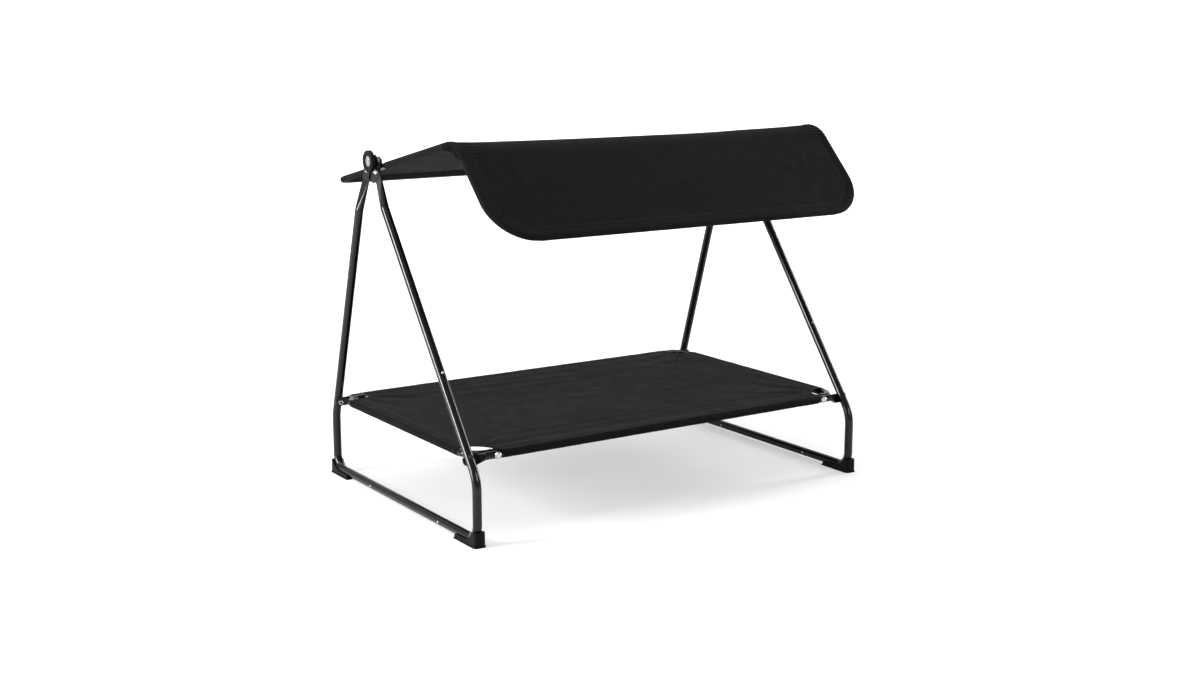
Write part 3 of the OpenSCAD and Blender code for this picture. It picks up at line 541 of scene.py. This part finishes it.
def canopy_frame(s):
    """The centre line's point (y, z), its heading and its outward normal, each in the YZ plane."""
    if s < S_FRONT:
        along = FRONT_LEN - s
        y = RIDGE[0] - along * math.cos(FRONT_SLOPE)
        z = RIDGE[1] - along * math.sin(FRONT_SLOPE)
        a = FRONT_SLOPE
    elif s < S_FRONT + S_ARC:
        a = FRONT_SLOPE - (s - S_FRONT) / RIDGE_R
        start = canopy_frame(S_FRONT - 1e-9)
        centre = (start[0][0] - RIDGE_R * start[2][0], start[0][1] - RIDGE_R * start[2][1])
        y, z = centre[0] - RIDGE_R * math.sin(a), centre[1] + RIDGE_R * math.cos(a)
    else:
        a = -REAR_SLOPE
        along = s - S_FRONT - S_ARC + RIDGE_CUT
        y = RIDGE[0] + along * math.cos(REAR_SLOPE)
        z = RIDGE[1] - along * math.sin(REAR_SLOPE)
    return (y, z), (math.cos(a), math.sin(a)), (-math.sin(a), math.cos(a))


def canopy_half(s):
    """Half the width at s, with both ends' rounded corners."""
    if s < FRONT_CORNER:
        d = FRONT_CORNER - s
        return CAN_X - FRONT_CORNER + math.sqrt(max(FRONT_CORNER ** 2 - d * d, 0))
    if s > S_END - REAR_CORNER:
        d = s - (S_END - REAR_CORNER)
        return CAN_X - REAR_CORNER + math.sqrt(max(REAR_CORNER ** 2 - d * d, 0))
    return CAN_X


def canopy_depth(x, s):
    """How far a point of the flat cloth lies inside the outline of the tubes."""
    depth = min(CAN_X - abs(x), s, S_END - s)
    for radius, low in ((FRONT_CORNER, s), (REAR_CORNER, S_END - s)):
        across, along = abs(x) - (CAN_X - radius), radius - low
        if across > 0 and along > 0:
            depth = min(depth, radius - math.hypot(across, along))
    return max(depth, 0.0)


def canopy_sag(x, s):
    """How far the cloth lies below the top of its edge tube."""
    edge = 1 - (x / CAN_X) ** 2
    depth = canopy_depth(x, s)
    lengthways = max(math.sin(math.pi * min(max(s / S_END, 0), 1)), 0) ** 0.7
    at_ridge = s - S_FRONT - S_ARC / 2
    ridge = math.exp(-(at_ridge / 0.09) ** 2)
    sag = edge * (0.0028 * lengthways + 0.0030 * ridge)
    # the cloth drops off the tube to the seam, which puckers it a little
    roll = smooth_step(depth, 0.003, 0.0155)
    sag += 0.0021 * roll
    around = x + s if depth > 1e-6 else 0.0
    pucker = math.exp(-((depth - 0.021) / 0.008) ** 2)
    wander = 2 * noise.noise(Vector((x * 9, s * 9, 0.3)))
    sag += 0.00028 * pucker * math.sin(2 * math.pi * around / 0.0135 + wander)
    ease = smooth_step(depth, 0.0, 0.05)
    p = Vector((x * 4.0, s * 5.0, 4.2))
    sag += (0.0012 * noise.noise(p) + 0.0005 * noise.noise(p * 2.7)) * ease
    # gathers that run in from the sides where the cloth turns over the ridge
    near = math.exp(-((CAN_X - abs(x)) / 0.055) ** 2) * math.exp(-(at_ridge / 0.042) ** 2)
    ripple = math.sin(s * 2 * math.pi / GATHER + 1.2 * math.sin(40 * x))
    sag -= 0.0013 * near * (0.35 + 0.65 * roll) * ripple
    # a soft pull line at each front corner
    for side in (-1, 1):
        dx, ds = x - side * (CAN_X - 0.09), s - 0.09
        r = math.hypot(dx, ds)
        fan = math.sin(9 * math.atan2(ds, side * dx) + 14 * r)
        sag += 0.0006 * fan * math.exp(-((r - 0.07) / 0.05) ** 2) * ease
    return sag


def canopy_point(x, s, up=0.0):
    (y, z), _, n = canopy_frame(s)
    h = CAN_R + up - canopy_sag(x, s)
    return np.array([x, y + n[0] * h, z + n[1] * h])


def canopy_cut(s):
    """How far the hem is cut in from the tube, to leave room for the pivot's ear."""
    return EAR_CUT * (1 - smooth_step(abs(s - S_PIVOT), 0.012, 0.021))


def canopy_sheet():
    """The cloth over both panels, with its hem wrapped round the edge tubes and tucked under."""
    rows = [FRONT_CORNER * (1 - math.cos(math.pi / 2 * t)) for t in np.linspace(0, 1, 15)]
    rows = [0.0, 0.003, 0.006] + [r for r in rows if r > 0.008]
    rows += list(np.arange(FRONT_CORNER + 0.006, S_FRONT - 0.010, 0.006))
    rows += list(np.linspace(S_FRONT - 0.008, S_FRONT + S_ARC + 0.008, 56))
    rows += list(np.arange(S_FRONT + S_ARC + 0.013, S_PIVOT - 0.024, 0.0065))
    rows += list(np.arange(S_PIVOT - 0.022, S_PIVOT + 0.0225, 0.002))
    rows += list(np.arange(S_PIVOT + 0.028, S_END - REAR_CORNER - 0.003, 0.0065))
    rows += [S_END - REAR_CORNER * (1 - math.sin(math.pi / 2 * t)) for t in np.linspace(0, 1, 9)]
    edge_steps = np.array([0.0, 0.0022, 0.0045, 0.0068, 0.0092, 0.0118, 0.0145, 0.0175, 0.021, 0.025, 0.030])
    middle = np.linspace(-1, 1, 121) * (1 - 0.037 / CAN_X)
    shares = np.concatenate([edge_steps / CAN_X - 1, middle, 1 - edge_steps[::-1] / CAN_X])
    across = len(shares) - 1
    verts, uvs, faces = [], [], []
    for s in rows:
        half = canopy_half(s)
        for t in shares:
            limit = half - canopy_cut(s)
            x = t * limit
            verts.append(canopy_point(x, s))
            uvs.append((x, s))
    wide = across + 1
    for a in range(len(rows) - 1):
        for b in range(across):
            faces.append([a * wide + b, a * wide + b + 1, (a + 1) * wide + b + 1, (a + 1) * wide + b])
    # the outline, anticlockwise seen from outside: front row, right side, rear row, left side
    last = len(rows) - 1
    loop = list(range(wide)) + [a * wide + across for a in range(1, last + 1)]
    loop += [last * wide + b for b in range(across - 1, -1, -1)] + [a * wide for a in range(last - 1, 0, -1)]
    flat = np.array([uvs[v] for v in loop])
    heading = np.roll(flat, -1, axis=0) - np.roll(flat, 1, axis=0)
    heading /= np.linalg.norm(heading, axis=1)[:, None]
    out = np.stack([heading[:, 1], -heading[:, 0]], axis=1)
    out = (np.roll(out, 1, axis=0) + out + np.roll(out, -1, axis=0)) / 3
    out /= np.linalg.norm(out, axis=1)[:, None]
    # the hem as (outwards, up, share of the tuck): round the tube, then in under the sheet
    profile = [(CAN_R * math.cos(a), CAN_R * math.sin(a), 0)
               for a in np.linspace(math.pi / 2, -math.pi / 2, 15)[1:]]
    x0, z0 = profile[-1][:2]
    for k in range(1, 7):
        t = k / 6
        profile.append((x0 - 0.022 * t, z0 + (CAN_R - 0.0012 - z0) * t, t))
    previous = loop
    walked, last_point = 0.0, (0.0, CAN_R)
    for px, pz, tuck in profile:
        walked += math.hypot(px - last_point[0], pz - last_point[1])
        last_point = (px, pz)
        fresh = []
        for k, v in enumerate(loop):
            x, s = flat[k]
            ox, os_ = out[k]
            cut = 1 - smooth_step(canopy_cut(s) / EAR_CUT, 0.0, 0.6) * 0.86
            at_ridge = math.exp(-((s - S_FRONT - S_ARC / 2) / 0.046) ** 4) * (abs(ox) > 0.5)
            ruche = 1 + at_ridge * (0.14 + 0.33 * math.sin(s * 2 * math.pi / GATHER + 9 * px)
                                    + 0.08 * math.sin(s * 2 * math.pi / 0.0057 + 1))
            ruche += 0.022 * noise.noise(Vector((x * 22, s * 22, walked * 40)))
            px2 = px * cut * ruche
            pz2 = CAN_R - (CAN_R - pz) * cut * ruche
            (y, z), along, n = canopy_frame(min(max(s, 0), S_END))
            fx, fs = ox * px2, os_ * px2
            sag = canopy_sag(x, s) if tuck == 0 else canopy_sag(x + fx, s + fs) * tuck
            h = pz2 - (sag if tuck else 0)
            fresh.append(len(verts))
            verts.append(np.array([x + fx, y + along[0] * fs + n[0] * h, z + along[1] * fs + n[1] * h]))
            uvs.append((x + ox * walked, s + os_ * walked))
        count = len(loop)
        for k in range(count):
            m = (k + 1) % count
            faces.append([previous[k], fresh[k], fresh[m], previous[m]])
        previous = fresh
    ob = make_mesh("canopy_cloth", verts, faces, uvs)
    return thicken(ob, CLOTH_T)


def canopy_seams():
    """Two rows of stitches all round, on the cloth's upper and under side."""
    rows = []
    steps = 900
    for off in (0.0185, 0.0213):
        for lift in (0.0, -2.2 * CLOTH_T):
            ring = [outline_at(k / steps, off) for k in range(steps)]
            ring.append(ring[0])
            row = []
            for x, s in ring:
                _, _, n = canopy_frame(s)
                p = canopy_point(x, s, lift)
                row.append((p, np.array([0, n[0], n[1]]) * (1 if lift == 0 else -1)))
            rows.append(row)
    return stitches("canopy_stitching", rows)


def outline_at(t, inset):
    """A point (x, s) of the canopy's outline, moved in by inset. t runs once round from 0 to 1."""
    w = CAN_X - inset
    low, high = inset, S_END - inset
    fr, rr = FRONT_CORNER - inset, max(REAR_CORNER - inset, 0.002)
    parts = [
        ("line", (-w + fr, low), (w - fr, low)),
        ("arc", (w - fr, low + fr), fr, -math.pi / 2, 0.0),
        ("line", (w, low + fr), (w, high - rr)),
        ("arc", (w - rr, high - rr), rr, 0.0, math.pi / 2),
        ("line", (w - rr, high), (-w + rr, high)),
        ("arc", (-w + rr, high - rr), rr, math.pi / 2, math.pi),
        ("line", (-w, high - rr), (-w, low + fr)),
        ("arc", (-w + fr, low + fr), fr, math.pi, 1.5 * math.pi),
    ]
    sizes = [math.dist(p[1], p[2]) if p[0] == "line" else p[2] * abs(p[4] - p[3]) for p in parts]
    at = t * sum(sizes)
    for p, size in zip(parts, sizes):
        if at <= size:
            f = at / size
            if p[0] == "line":
                return p[1][0] + (p[2][0] - p[1][0]) * f, p[1][1] + (p[2][1] - p[1][1]) * f
            a = p[3] + (p[4] - p[3]) * f
            return p[1][0] + p[2] * math.cos(a), p[1][1] + p[2] * math.sin(a)
        at -= size
    return parts[0][1]


# ---------- stage ----------
def add_stage(material):
    """A floor that curves up into a back wall."""
    me = bpy.data.meshes.new("studio_floor")
    size, back, rise, r = 16.0, 6.0, 6.0, 2.0
    profile = [(-size, 0.0), (back - r, 0.0)]
    profile += [(back - r + r * math.sin(a), r - r * math.cos(a))
                for a in np.linspace(0, math.pi / 2, 12)[1:]]
    profile.append((back, rise))
    verts, faces = [], []
    for x in (-size, size):
        verts += [(x, y, z) for y, z in profile]
    n = len(profile)
    for k in range(n - 1):
        faces.append((k, n + k, n + k + 1, k + 1))
    me.from_pydata(verts, [], faces)
    for p in me.polygons:
        p.use_smooth = True
    ob = bpy.data.objects.new("studio_floor", me)
    ob.rotation_euler = (0, 0, -VIEW_YAW)
    me.materials.append(material)
    bpy.context.scene.collection.objects.link(ob)


def area_light(name, place, aim, size, power, size_y=None):
    light = bpy.data.lights.new(name, "AREA")
    light.energy = power
    light.size = size
    if size_y:
        light.shape = "RECTANGLE"
        light.size_y = size_y
    ob = bpy.data.objects.new(name, light)
    ob.location = place
    ob.rotation_euler = (Vector(aim) - Vector(place)).to_track_quat("-Z", "Y").to_euler()
    bpy.context.scene.collection.objects.link(ob)


def add_lights():
    """A white world that the camera sees and that lights little, and four soft boxes."""
    world = bpy.data.worlds.new("studio")
    bpy.context.scene.world = world
    world.use_nodes = True
    tree = world.node_tree
    sky = tree.nodes["Background"]
    path = tree.nodes.new("ShaderNodeLightPath")
    level = tree.nodes.new("ShaderNodeMapRange")
    level.inputs["To Min"].default_value = 0.28
    level.inputs["To Max"].default_value = 1.0
    tree.links.new(path.outputs["Is Camera Ray"], level.inputs["Value"])
    tree.links.new(level.outputs["Result"], sky.inputs["Strength"])
    sky.inputs["Color"].default_value = (1, 1, 1, 1)
    area_light("overhead", (-0.9, 0.8, 4.4), (0, 0, 0), 4.6, 165)
    area_light("softbox_left", (-3.9, 0.7, 1.3), (0, 0, 0.5), 0.95, 270, 2.6)
    area_light("softbox_front", (0.3, -4.6, 2.2), (0, 0, 0.4), 1.2, 60, 1.6)
    area_light("softbox_right", (3.9, -0.4, 1.4), (0, 0, 0.4), 0.6, 90, 2.2)
    bpy.context.scene.view_settings.view_transform = "Standard"


# ---------- build ----------
add_camera()

paint = paint_material()
zinc = zinc_material("bright_zinc", (0.50, 0.51, 0.53), (0.83, 0.84, 0.86), 0.24)
spring = zinc_material("spring_steel", (0.20, 0.21, 0.22), (0.42, 0.43, 0.45), 0.30)
worn = zinc_material("worn_zinc", (0.24, 0.24, 0.25), (0.46, 0.47, 0.48), 0.34)
plastic = plastic_material()
bed_cloth = cloth_material("bed_weave", (0.0028, 0.0028, 0.0030), (0.0066, 0.0065, 0.0068),
                           pitch=0.0011, rough=0.66, sheen=0.012, slub=0.03)
canopy_weave = cloth_material("canopy_weave", (0.0040, 0.0040, 0.0043), (0.0076, 0.0076, 0.0080),
                              pitch=0.0009, rough=0.70, sheen=0.014, slub=0.03)
thread = thread_material()

SLOT_LOOK = {"black_paint": paint, "zinc": zinc, "spring_steel": spring, "black_plastic": plastic,
             "bed_cloth": bed_cloth, "canopy_cloth": canopy_weave}
for entry in frame["record"]["subparts"]:
    ob = nodes[entry["node"]]
    ob.data.materials.clear()
    is_button = entry["node"].startswith("snap_button")
    ob.data.materials.append(worn if is_button else SLOT_LOOK[entry["material_slot"]])

sling = bed_sling()
sling.data.materials.append(bed_cloth)
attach(sling, "stand")
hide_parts("bed_fabric")
extras = bed_bindings()
for ob in extras:
    ob.data.materials.append(bed_cloth)
bed_thread = bed_seams()
bed_thread.data.materials.append(thread)
for ob in extras + [bed_thread]:
    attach(ob, "stand")

cover = canopy_sheet()
cover.data.materials.append(canopy_weave)
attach(cover, "canopy")
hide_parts("canopy_fabric")
cover_thread = canopy_seams()
cover_thread.data.materials.append(thread)
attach(cover_thread, "canopy")

add_stage(floor_material())
add_lights()
